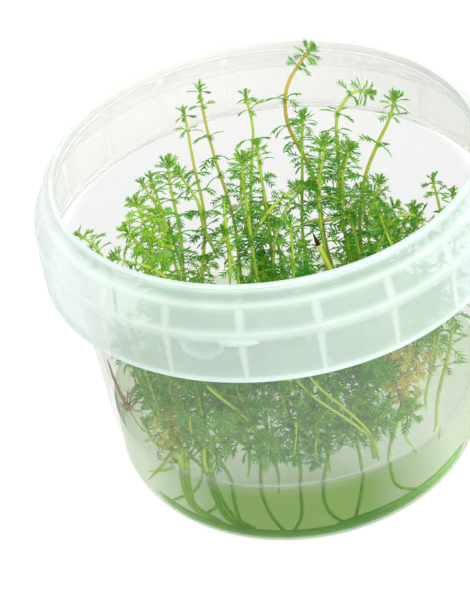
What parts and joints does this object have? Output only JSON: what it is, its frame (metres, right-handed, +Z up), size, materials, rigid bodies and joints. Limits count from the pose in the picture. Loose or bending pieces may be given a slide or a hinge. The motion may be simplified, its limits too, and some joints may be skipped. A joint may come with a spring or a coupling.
{
  "type": "tissue culture myriophyllum tuberculatum in open tub",
  "caption": "Young feathery-leaved water milfoil stems standing in a layer of nutrient gel in a round translucent tub with no lid.",
  "frame": {"origin": "middle of the flat base of the tub, on the surface that it stands on", "axes": "+Z up along the tub's axis, +Y away from the viewer, +X to the viewer's right"},
  "size_m": [0.1036, 0.1037, 0.0886],
  "materials": {
    "tub_plastic": "milky see-through polypropylene, satin",
    "gel": "clear wet gel with a faint green cast",
    "plantlet": "soft green leaves on yellow-green stems",
    "creeping_stem": "wet yellow-green stem",
    "cut_stem": "pale green stem with a brown end",
    "withered": "dry brown"
  },
  "bodies": {
    "root": {"tub": "tub_plastic", "gel": "gel", "plantlet_01": "plantlet", "plantlet_02": "plantlet", "plantlet_03": "plantlet", "plantlet_04": "plantlet", "plantlet_05": "plantlet", "plantlet_06": "plantlet", "plantlet_07": "plantlet", "plantlet_08": "plantlet", "plantlet_09": "plantlet", "plantlet_10": "plantlet", "plantlet_11": "plantlet", "plantlet_12": "plantlet", "plantlet_13": "plantlet", "plantlet_14": "plantlet", "plantlet_15": "plantlet", "plantlet_16": "plantlet", "plantlet_17": "plantlet", "plantlet_18": "plantlet", "plantlet_19": "plantlet", "plantlet_20": "plantlet", "plantlet_21": "plantlet", "plantlet_22": "plantlet", "plantlet_23": "plantlet", "plantlet_24": "plantlet", "plantlet_25": "plantlet", "plantlet_26": "plantlet", "plantlet_27": "plantlet", "plantlet_28": "plantlet", "plantlet_29": "plantlet", "plantlet_30": "plantlet", "plantlet_31": "plantlet", "plantlet_32": "plantlet", "plantlet_33": "plantlet", "plantlet_34": "plantlet", "runner_1": "creeping_stem", "runner_2": "creeping_stem", "runner_3": "creeping_stem", "cut_stem": "cut_stem", "dead_sprig": "withered"}
  },
  "joints": []
}
